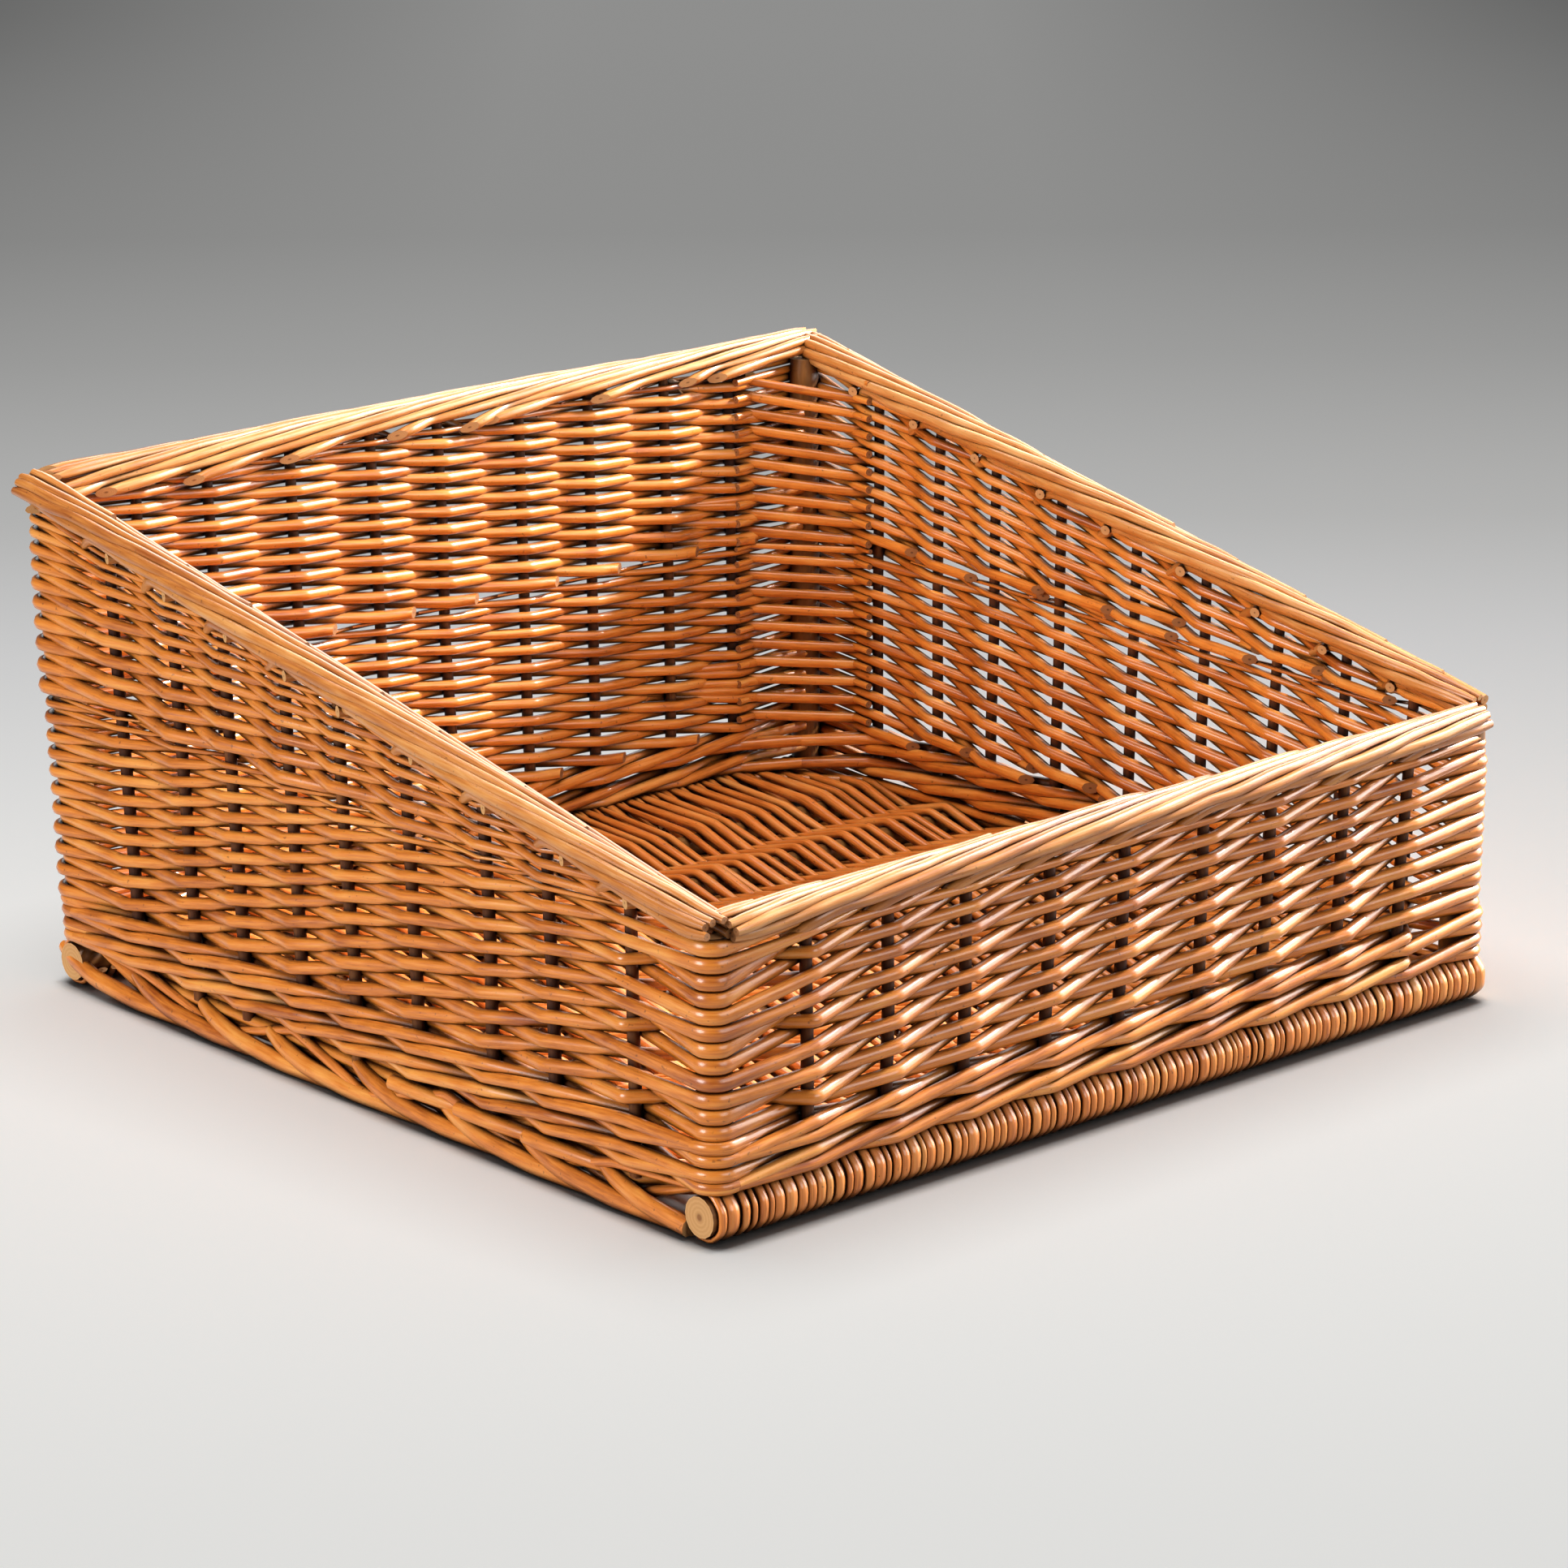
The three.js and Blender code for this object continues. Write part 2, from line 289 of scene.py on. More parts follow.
@dataclass(frozen=True)
class EndGrain:
    """Cut willow end: pale matt wood with a dark pith and faint rings."""

    name: str = "cut_willow_end_grain"
    wood: str = "cc9a62"
    ring: str = "b8824a"
    pith: str = "8e5c30"
    rings: float = 30.0
    pith_share: Pair = (0.25, 0.12)
    roughness: float = 0.8

    def build(self) -> bpy.types.Material:
        """Material that reads the cap's map: share of the radius and turn.

        Returns:
            The material.
        """
        s = Shader(self.name)
        cap = s.add("SeparateXYZ", Vector=s.add("UVMap", {"uv_map": "Rod"})[0])[0]
        wave = s.add("Math", TIMES, in0=cap, in1=self.rings)[0]
        wave = s.add("Math", {"operation": "SINE"}, in0=wave)[0]
        wave = s.add("Math", TIMES_PLUS, in0=wave, in1=0.25, in2=0.3)[0]
        core = s.add("MapRange", Value=cap, From_Min=self.pith_share[0],
                     From_Max=self.pith_share[1])[0]
        colour = linear(self.wood)
        for share, code in ((wave, self.ring), (core, self.pith)):
            colour = s.add("Mix", BLEND, in0=share, in6=colour, in7=linear(code))[2]
        return s.close(s.add("BsdfPrincipled", Base_Color=colour, Roughness=self.roughness)[0])


class Finishes:
    """Every finish of the basket, built once."""

    def __init__(self) -> None:
        """Build the materials."""
        self.wall = Willow("buff_willow_weaver", "94440c", "d87e2a", "eea44e").build()
        # Stakes are darker than the weavers as painted shade: they stand in shadow between the
        # rows.
        self.stake = Willow("buff_willow_stake", "421c06", "6a3812", "885424", 0.75, 0.04).build()
        self.border = Willow("buff_willow_border", "904814", "be7632", "d69c5c").build()
        self.base = Willow("buff_willow_base_rod", "a24e10", "e28434", "f0a858").build()
        self.stick = Willow("willow_stick", "4e3010", "80501e", "a67238", 0.5, 0.25).build()
        self.end = EndGrain().build()
        # Darker cut ends for the wale, the wall rows and the left and front borders.
        self.dark_end = EndGrain("dark_willow_end", "9a6434", "845024", "583012").build()


def unit(vectors: np.ndarray) -> np.ndarray:
    """Vectors of length 1."""
    return vectors / np.maximum(np.linalg.norm(vectors, axis=-1, keepdims=True), 1e-9)


def bent_path(control: np.ndarray, value: np.ndarray, spacing: float, bend: float,
              ) -> tuple[np.ndarray, np.ndarray]:
    """Straight runs between control points, with each corner rounded over a short length.

    The polyline is sampled finely and averaged twice over a window of that length. Steps are
    even in run divided by spacing plus turning divided by an eighth of a radian.

    Args:
        control: Points to pass, one row each.
        value: Rows of values per point, such as the radius, carried along.
        spacing: Length of a step on a straight run.
        bend: Length over which a corner is rounded.

    Returns:
        Points along the path and the value at each.
    """
    chord = np.linalg.norm(np.diff(control, axis=0), axis=1)
    knot = np.concatenate(([0.0], np.cumsum(chord)))
    width = max(int(bend / FINE_MM), 1)
    step = np.linspace(0, knot[-1], max(int(knot[-1] / FINE_MM), 4) + 1)
    line = np.stack([np.interp(step, knot, axis) for axis in control.T], axis=-1)
    pad = np.arange(1, 2 * width + 1)[:, None]
    line = np.concatenate((line[0] - pad[::-1] * (line[1] - line[0]), line,
                           line[-1] + pad * (line[-1] - line[-2])))
    kernel = np.convolve(np.ones(width), np.ones(width)) / width**2
    line = np.stack([np.convolve(axis, kernel, "same") for axis in line.T], axis=-1)
    line = line[2 * width:-2 * width]
    tangent = unit(np.gradient(line, axis=0))
    turn = np.linalg.norm(np.diff(tangent, axis=0), axis=1)
    run = np.linalg.norm(np.diff(line, axis=0), axis=1)
    effort = np.concatenate(([0.0], np.cumsum(run / spacing + turn / TURN_STEP)))
    at = np.linspace(0, effort[-1], max(int(effort[-1]), 4) + 1)
    points = np.stack([np.interp(at, effort, axis) for axis in line.T], axis=-1)
    there = np.interp(at, effort, step)
    return points, np.stack([np.interp(there, knot, row) for row in value])


class Bundle:
    """Rods gathered into one mesh, closed at their cut ends, with a map along each rod."""

    def __init__(self, name: str, sides: int = 8, spacing: float = 9.0, bend: float = 3.0,
                 seed: int = 1, spread: float = 0.14) -> None:
        """Start an empty bundle, with the bend of its corners and the spread of its tones."""
        self.name, self.sides, self.spacing = name, sides, spacing
        self.bend, self.spread = bend, spread
        self.rng = np.random.default_rng(seed)
        self.count = 0
        self.rods: list[tuple[np.ndarray, ...]] = []

    def add(self, control: object, radius: object, guide: np.ndarray = UP, flat: object = 1.0,
            face: np.ndarray | None = None) -> None:
        """Carry an oval along a path: point = path + radius (flat cos a side + sin a lift).

        Args:
            control: Points that the rod passes through.
            radius: Radius at each of them, or one for all.
            guide: Way that the oval's second axis keeps closest to.
            flat: Share of the radius along the oval's first axis, at each point or for all.
            face: Way that the slanted cuts of its ends face, square cuts if not given.
        """
        control = np.asarray(control, float)
        value = [np.broadcast_to(np.asarray(v, float), len(control)) for v in (radius, flat)]
        path, (size, oval) = bent_path(control, np.stack(value), self.spacing, self.bend)
        n, m = len(path), self.sides
        tangent = unit(np.gradient(path, axis=0))
        side = unit(np.cross(np.broadcast_to(guide, path.shape), tangent))
        lift = np.cross(tangent, side)
        size[[0, -1]] *= CUT_EDGE
        a = 2 * np.pi * np.arange(m) / m
        ring = path[:, None] + size[:, None, None] * (
            oval[:, None, None] * np.cos(a)[None, :, None] * side[:, None]
            + np.sin(a)[None, :, None] * lift[:, None])
        if face is not None:
            for end, sign in ((0, 1), (-1, -1)):
                slope = CUT_SLOPE * sign * ((ring[end] - path[end]) @ face)
                ring[end] += slope[:, None] * tangent[end]
        total, last = n * m + 2, (n - 1) * m
        tone = np.full(total, self.rng.normal(0.5, self.spread))
        edge = np.full(total, -1)
        edge[:m], edge[last:n * m] = self.count, self.count + 1
        i, j = m * np.arange(n - 1)[:, None], np.arange(m)
        k = (j + 1) % m
        quads = np.stack((i + j, i + k, i + m + k, i + m + j), axis=-1).reshape(-1, 4)
        caps = np.concatenate((np.stack((np.full(m, n * m), k, j), axis=-1),
                               np.stack((np.full(m, n * m + 1), last + j, last + k), axis=-1)))
        length = np.concatenate(([0.0], np.cumsum(np.linalg.norm(np.diff(path, axis=0), axis=1))))
        length = length * MM + self.rng.uniform(0, MAP_METRES)
        u = np.stack((length[:-1], length[:-1], length[1:], length[1:]), axis=-1)[:, None]
        v = np.stack((j, j + 1, j + 1, j), axis=-1) / m
        quad_map = np.stack(np.broadcast_arrays(u, v), axis=-1).reshape(-1, 2)
        v = np.stack((j, j + 1, j), axis=-1) / m
        cap_map = np.stack(np.broadcast_arrays((0.0, 1.0, 1.0), v), axis=-1).reshape(-1, 2)
        points = np.concatenate((ring.reshape(-1, 3), path[[0, -1]]))
        self.rods.append((points, tone, edge, quads + self.count, caps + self.count, quad_map,
                          np.tile(cap_map, (2, 1))))
        self.count += total

    def build(self, skin: bpy.types.Material, end: bpy.types.Material, slot: str,
              replaces: list[str]) -> None:
        """Make the mesh and tie it to the frame.

        Args:
            skin: Finish of the rods.
            end: Finish of their cut ends.
            slot: Not used.
            replaces: Nodes that the piece stands for.
        """
        points, tones, rings, quads, caps, *maps = map(np.concatenate, zip(*self.rods))
        mesh = bpy.data.meshes.new(self.name)
        mesh.from_pydata((points * MM).tolist(), [], quads.tolist() + caps.tolist())
        is_cap = np.repeat((0, 1), (len(quads), len(caps))).astype(np.int32)
        mesh.polygons.foreach_set("material_index", is_cap)
        mesh.polygons.foreach_set("use_smooth", is_cap == 0)
        coords = np.concatenate(maps).astype(np.float32)
        mesh.uv_layers.new(name="Rod").data.foreach_set("uv", coords.ravel())
        tone = mesh.attributes.new("tone", "FLOAT", "POINT")
        tone.data.foreach_set("value", tones.astype(np.float32))
        pair = np.empty(2 * len(mesh.edges), np.int32)
        mesh.edges.foreach_get("vertices", pair)
        ring = rings[pair.reshape(-1, 2)]
        sharp = mesh.attributes.new("sharp_edge", "BOOLEAN", "EDGE")
        sharp.data.foreach_set("value", (ring[:, 0] >= 0) & (ring[:, 0] == ring[:, 1]))
        mesh.materials.append(skin)
        mesh.materials.append(end)
        piece = bpy.data.objects.new(self.name, mesh)
        bpy.data.collections["basket"].objects.link(piece)
        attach(piece, "root")
        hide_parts(*replaces)
        LOG.info("%s: %d rods, %d triangles", self.name, len(self.rods),
                 2 * len(quads) + len(caps))


@dataclass
class Strand:
    """One weaver: its stations, its height and size at each, and the posts it passes inside."""

    first: int
    sign: int = -1
    stations: list[int] = field(default_factory=list)
    heights: list[float] = field(default_factory=list)
    sizes: list[float] = field(default_factory=list)
    cuts: set[int] = field(default_factory=set)

    def side_at(self, station: int) -> int:
        """1 where the weaver passes outside the station's stake and -1 inside."""
        return self.sign if (station - self.first) % 2 == 0 else -self.sign


class Block(Enum):
    """The two sets of rows: level ones all round, and the wedge above them."""

    LEVEL = "level"
    WEDGE = "wedge"


@dataclass
class Walls:
    """Woven walls: rods start inside at every stake and climb one row per stake.

    Drops and jitters go by wall. Rows of a corner rod are a place out, a climb and a radius.
    """

    plan: Plan = PLAN
    wale_rounds: int = 2
    wale_r: float = 2.6
    level_rows: tuple[int, int] = (18, 23)
    level_top: Pair = (111.5, 121.0)
    wedge_row: float = 3.4
    butt_r: float = 2.4
    tip_r: float = 1.75
    tip_share: float = 0.35
    level_pack: float = 0.59
    wedge_pack: float = 0.66
    press: float = 0.95
    band: float = 0.6
    post_oval: float = 0.85
    arc: Row = (8.0, 31.0, 59.0, 82.0)
    bite: float = 1.2
    taper: float = 0.028
    thick_max: float = 3.0
    uneven: float = 0.15
    short_butt: Pair = (10, 14)
    long_butt: Pair = (24, 34)
    butt_gap: float = 0.8
    butt_fall: float = 0.05
    tuck: float = 2.0
    tip_run: float = 15.0
    tip_at_post: float = 0.3
    tip_thin: float = 0.8
    short_tip: int = 3
    long_tip: int = 6
    left_extra: int = 3
    left_rise: float = 25.0
    slack_far_left: Pair = (1.6, -1.4)
    slack_near_right: float = -1.6
    packing: Row = (0.8, 0.72, 0.988)
    wale_lift: float = 3.9
    wale_swing: float = 0.98
    wale_thin: float = 0.97
    wale_seam: int = 25
    wale_rise: Row = (-1.0, 1.0, 0.8, -0.8)
    fillers: tuple[Pair, ...] = ((4.0, 17.0), (1.5, 13.0), (3.0, 9.0))
    corner_run: Pair = (33.0, 14.0)
    corner_rods: Row = (25.0, 34.0, 53.0, 60.0, 68.0, 96.0, 124.0, 132.0, 141.0, 168.0, 176.0)
    corner: tuple[Row, ...] = ((-7.5, -1.5, 2.3), (-4.6, 0.0, 2.3), (4.4, 3.0, 2.0),
                               (0.0, 4.5, 1.6))
    seed: int = 11
    drop: Row = (10.0, 11.5, 12.0, 11.0)
    jitter: tuple[Row, ...] = ((0, 0, -1, 1.5, 1, 4, 1, 2, -1),
                               (-6, -8.5, -10, -8, -6, -1, 0, -4.5, -4.5),
                               (1, -2, 2, 0, 3, -1, 0, 2, -2),
                               (4, 4, -1.5, -2.5, -8.5, -8, -2.5, -5, 0.5))

    @property
    def per_wall(self) -> int:
        """Stations of one wall: the post at its start and its stakes."""
        return self.plan.stakes + 1

    @property
    def loop(self) -> int:
        """Stations round the basket."""
        return 4 * self.per_wall

    @property
    def wale_top(self) -> float:
        """Height where the wale ends and the rows of single rods begin."""
        return self.plan.wale_foot + self.wale_rounds * self.wale_lift * self.wale_r

    def spot(self, station: int) -> tuple[Side, float, bool]:
        """Wall, place along it and whether it is a post, for a station."""
        wall, k = divmod(station % self.loop, self.per_wall)
        u = -self.plan.post_line + k * self.plan.pitch
        return WALLS[wall], u + (self.jitter[wall][k - 1] if k else 0.0), k == 0

    def levels(self, station: int) -> Row:
        """Share of the way to the back, top of the level rows and top of all rows."""
        side, u, post = self.spot(station)
        y = float(self.plan.depth_at(side, u))
        share = (y / self.plan.stake_line + 1) / 2
        wall = WALLS.index(side)
        drop = (self.drop[wall] + self.drop[wall - 1 if post else wall]) / 2
        low, high = self.level_top
        return share, low + (high - low) * share, float(self.plan.rim(y)) - drop

    def lay(self, block: Block) -> list[Strand]:
        """Lay one set of weavers station by station, as a stack that gains and loses rods.

        At each stake a rod goes in at the bottom, on the right wall two or more, and the top
        rods end where the stack is full. Heights share out the room by thickness, with thin
        tips. At the front left post every third rod passes inside and the rest lie evenly.

        Args:
            block: Which set of rows.

        Returns:
            The weavers that start on the middle one of three rounds.
        """
        strands: list[Strand] = []
        stack: list[Strand] = []
        history: list[list[Strand]] = []
        for q in range(3 * self.loop):
            side, _, post = self.spot(q)
            share, middle, top = self.levels(q)
            if block is Block.LEVEL:
                want = round(self.level_rows[0] + share * (self.level_rows[1]
                                                           - self.level_rows[0]))
                low = not post
            else:
                want = max(round((top - middle) / self.wedge_row), 0)
                if side is Side.LEFT:
                    want += round(self.left_extra * min((top - middle) / self.left_rise, 1))
                want = 0 if side is Side.FRONT else want
                low = not post and side in (Side.RIGHT, Side.BACK)
            count = 1 if low else 0
            if low and side is Side.RIGHT:
                count = 3 if len(stack) + 2 < want else 2
            for _ in range(count):
                sign = -stack[0].side_at(q) if stack else -1
                if sign < 0 or side is Side.RIGHT:
                    stack.insert(0, Strand(q, sign))
                    strands.append(stack[0])
            del stack[want:]
            for strand in stack:
                strand.stations.append(q)
            history.append(list(stack))
        for q, stack in enumerate(history):
            if not stack:
                continue
            _, middle, top = self.levels(q)
            slow = block is Block.WEDGE and self.spot(q)[0] is Side.LEFT
            fade = self.long_tip if slow else self.short_tip
            foot = self.wale_top - 1.0 if block is Block.LEVEL else middle
            room = (middle if block is Block.LEVEL else top) - foot
            age = np.array([q - s.first for s in stack], float)
            left = np.array([s.stations[-1] - q for s in stack], float)
            size = np.maximum(self.butt_r - self.taper * age, self.tip_r)
            size = size * (self.tip_share + (1 - self.tip_share) * np.minimum(left / fade, 1))
            gain = room / size.sum()
            pack = self.level_pack if block is Block.LEVEL else self.wedge_pack
            z = foot + (np.cumsum(size) - size / 2) * gain
            thick = np.minimum(pack * gain * size, self.thick_max)
            if q % self.loop == 0:
                around = np.arange(len(stack)) % 3 != 1
                pitch = room / around.sum()
                z[around] = foot + (np.arange(around.sum()) + 0.5) * pitch
                thick[around] = 0.5 * pitch
                for strand in (s for s, held in zip(stack, around) if not held):
                    strand.cuts.add(q)
            for strand, height, r in zip(stack, z, thick):
                strand.heights.append(float(height))
                strand.sizes.append(float(r))
        return [s for s in strands if self.loop <= s.first < 2 * self.loop]

    def passage(self, station: int, out: bool, z: float, r: float, slack: float = 0.0,
                ) -> np.ndarray:
        """Points where a rod passes a station, outside a post in an arc and inside it straight.

        Args:
            station: The station.
            out: Whether the rod passes outside.
            z: Its height there.
            r: Its radius there.
            slack: Distance that it keeps from a post.

        Returns:
            The points, none where it cuts a corner.
        """
        side, u, post = self.spot(station)
        plan = self.plan
        if not post:
            reach = self.press * (plan.stake_r + r) * (1 if out else -1)
            return plan.place(side, [u], plan.stake_line + reach, z)
        if not out:
            return np.empty((0, 3))
        turn = np.radians(self.arc)
        reach = plan.post_r + r + slack - self.bite
        return plan.place(side, u - reach * np.cos(turn), plan.post_line + reach * np.sin(turn), z)

    def strand_path(self, strand: Strand, rng: np.random.Generator) -> Rod:
        """Control points and radii of one weaver, with its butt and tip tucked in.

        Args:
            strand: The weaver.
            rng: Source of the small unevenness.

        Returns:
            Points, radii and flatness.
        """
        plan = self.plan
        tight = (0, self.per_wall, 3 * self.per_wall)
        points, sizes, flats = [], [], []
        for q, z, r in zip(strand.stations, strand.heights, strand.sizes):
            out = strand.side_at(q) > 0
            wrapped = q % self.loop in tight and q not in strand.cuts
            slack = self.slack_far_left[0 if out else 1] if q % self.loop == tight[-1] else 0.0
            slack = self.slack_near_right if q % self.loop == self.per_wall else slack
            post = self.spot(q)[2]
            out = wrapped or (out and q not in strand.cuts)
            oval = self.band if q % self.loop == 0 else self.post_oval if post else 1.0
            step = self.passage(q, out, z + rng.normal(0, self.uneven), r * oval, slack)
            points.append(step)
            sizes.append(np.full(len(step), r))
            flats.append(np.full(len(step), oval))
        control, size = np.concatenate(points), np.concatenate(sizes)
        flat = np.concatenate(flats)
        side, u, post = self.spot(strand.first)
        if not post:
            gap = plan.stake_r + size[0] + self.butt_gap if strand.sign < 0 else self.tuck
            lead = rng.uniform(*(self.long_butt if side is Side.RIGHT else self.short_butt))
            butt = plan.place(side, [u - lead], plan.stake_line - gap,
                              strand.heights[0] - self.butt_fall * lead)
            control, size = np.concatenate((butt, control)), np.concatenate((size[:1], size))
            flat = np.concatenate((flat[:1], flat))
        side, u, post = self.spot(strand.stations[-1])
        tip = plan.place(side, [u + self.tip_run], plan.stake_line - self.tuck,
                         strand.heights[-1] + 0.2)
        if post:
            tip = control[-1:] + (tip - control[-1:]) * self.tip_at_post
        control = np.concatenate((control, tip))
        return control, np.append(size, self.tip_thin * size[-1]), np.append(flat, flat[-1])

    def wale_paths(self) -> list[np.ndarray]:
        """Four rods a round that pass outside two stakes, rising, and inside two, falling.

        Returns:
            Control points of each rod.
        """
        made = []
        spots = range(self.wale_seam, self.wale_seam + self.loop + 1)
        for turn in range(self.wale_rounds):
            middle = self.plan.wale_foot + (2 * turn + 1) * (self.wale_lift / 2) * self.wale_r
            for rod in range(4):
                steps = []
                for q in spots:
                    phase = (q + rod + 2 * turn) % 4
                    rise = self.wale_rise[phase] * self.wale_swing * self.wale_r
                    out = phase < 2 or q % self.loop in (0, 3 * self.per_wall)
                    steps.append(self.passage(q, out, middle + rise, self.wale_r))
                made.append(np.concatenate(steps))
        for inset, z in self.fillers:
            made.append(np.concatenate([self.plan.place(side, [u], self.plan.stake_line - inset, z)
                                        for side, u, post in map(self.spot, spots) if not post]))
        return made

    def corner_butts(self, rows: Bundle) -> None:
        """Extra rods at the back right corner: cut off past the post, then inside one stake.

        Args:
            rows: Where the rods go.
        """
        plan, rng = self.plan, rows.rng
        out, climb, size = np.array(self.corner).T
        first, (back, on) = 2 * self.per_wall, self.corner_run
        for z in self.corner_rods:
            u = [self.spot(first + k)[1] for k in (1, 2)]
            along = np.array((u[0] - back - rng.uniform(0, 4), *u, u[1] + on))
            height = z + rng.uniform(-0.8, 2.0) * climb
            rows.add(plan.place(Side.BACK, along, plan.stake_line + out, height), size, face=EAST)

    def build(self, finish: Finishes) -> None:
        """Make the wale and the rows as pieces.

        Args:
            finish: The basket's finishes.
        """
        nodes = [f"{side.label}_wall_weave" for side in WALLS]
        wale = Bundle("wall_wale", seed=3)
        for control in self.wale_paths():
            wale.add(control, self.wale_r * self.wale_thin)
        wale.build(finish.wall, finish.dark_end, "willow_rod", nodes)
        rng = np.random.default_rng(self.seed)
        arc_share, size_share, inset = self.packing
        for index, block in enumerate(Block):
            rows = Bundle(f"wall_rows_{block.value}", seed=5 + index)
            for strand in self.lay(block):
                if len(strand.stations) > 1:
                    side = self.spot(strand.first)[0]
                    control, size, flat = self.strand_path(strand, rng)
                    rows.add(control, size, UP, flat, self.plan.inward(side))
                for q, z, r in zip(strand.stations, strand.heights, strand.sizes):
                    right = q % self.loop == 2 * self.per_wall
                    if right and strand.side_at(q) < 0:
                        turn = np.concatenate([self.passage(q - 1, False, z, r),
                                               self.passage(q, True, z, arc_share * r),
                                               self.passage(q + 1, False, z, r)])
                        turn[:, :2] *= inset
                        rows.add(turn, size_share * r)
            if block is Block.LEVEL:
                self.corner_butts(rows)
            rows.build(finish.wall, finish.dark_end, "willow_rod", nodes)


@dataclass
class Uprights:
    """Stakes and corner posts."""

    walls: Walls
    plan: Plan = PLAN
    stake_foot: float = 14.0
    post_foot: float = 15.0
    under_rim: Pair = (7.0, 11.0)

    def build(self, finish: Finishes) -> None:
        """Make the stakes of each wall and the posts.

        Args:
            finish: The basket's finishes.
        """
        plan, per_wall = self.plan, self.walls.per_wall
        for wall, side in enumerate(WALLS):
            stakes = Bundle(f"{side.label}_stakes", spacing=12.0, bend=9.0, seed=20 + wall)
            for k in range(1, per_wall):
                _, u, _ = self.walls.spot(wall * per_wall + k)
                top = float(plan.rim(plan.depth_at(side, u))) - self.under_rim[0]
                z = np.linspace(self.stake_foot, top, 5)
                sway = stakes.rng.normal(0, 0.5, 5)
                stakes.add(plan.place(side, u + sway, plan.stake_line, z),
                           np.linspace(plan.stake_r + 0.15, plan.stake_r - 0.15, 5), ASKEW)
            stakes.build(finish.stake, finish.end, "willow_stick",
                         [f"{side.label}_stake_{k}" for k in range(1, per_wall)])
        posts = Bundle("corner_posts", sides=14, spacing=12.0, seed=30)
        for side in WALLS:
            depth = float(plan.depth_at(side, -plan.post_line))
            depth = np.clip(depth, -plan.post_line, plan.post_line)
            z = np.linspace(self.post_foot, float(plan.rim(depth)) - self.under_rim[1], 5)
            posts.add(plan.place(side, np.full(5, -plan.post_line), plan.post_line, z),
                      plan.post_r, ASKEW)
        posts.build(finish.stick, finish.end, "willow_stick",
                    [f"{f}_{s}_corner_post" for f in ("front", "back") for s in ("left", "right")])


@dataclass(frozen=True)
class Lay:
    """How one wall's border lies: its ends, its way along, and its turn over the rim."""

    start: float
    stop: float
    way: int
    turn: Pair
    steps: float
    fill: Row


